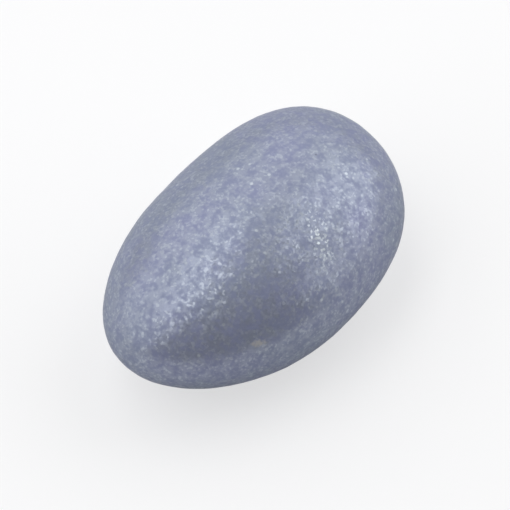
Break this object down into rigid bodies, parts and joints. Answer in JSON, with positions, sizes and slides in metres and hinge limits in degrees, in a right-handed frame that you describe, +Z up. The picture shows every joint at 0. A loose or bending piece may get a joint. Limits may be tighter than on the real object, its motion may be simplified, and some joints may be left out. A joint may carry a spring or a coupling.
{
  "type": "sugared almond",
  "caption": "Single sugared almond lying on its broad side: a whole kernel inside a smooth, hard sugar shell with a pearly slate-blue finish.",
  "frame": {"origin": "below the middle of the bounding box, on the surface that the almond lies on", "axes": "+X along the length towards the round end, +Y across the broad side towards the flatter flank, +Z up through the thickness"},
  "size_m": [0.027, 0.0176, 0.013],
  "materials": {
    "sugar_shell": "satin"
  },
  "bodies": {
    "root": {"sugared_almond": "sugar_shell"}
  },
  "joints": []
}
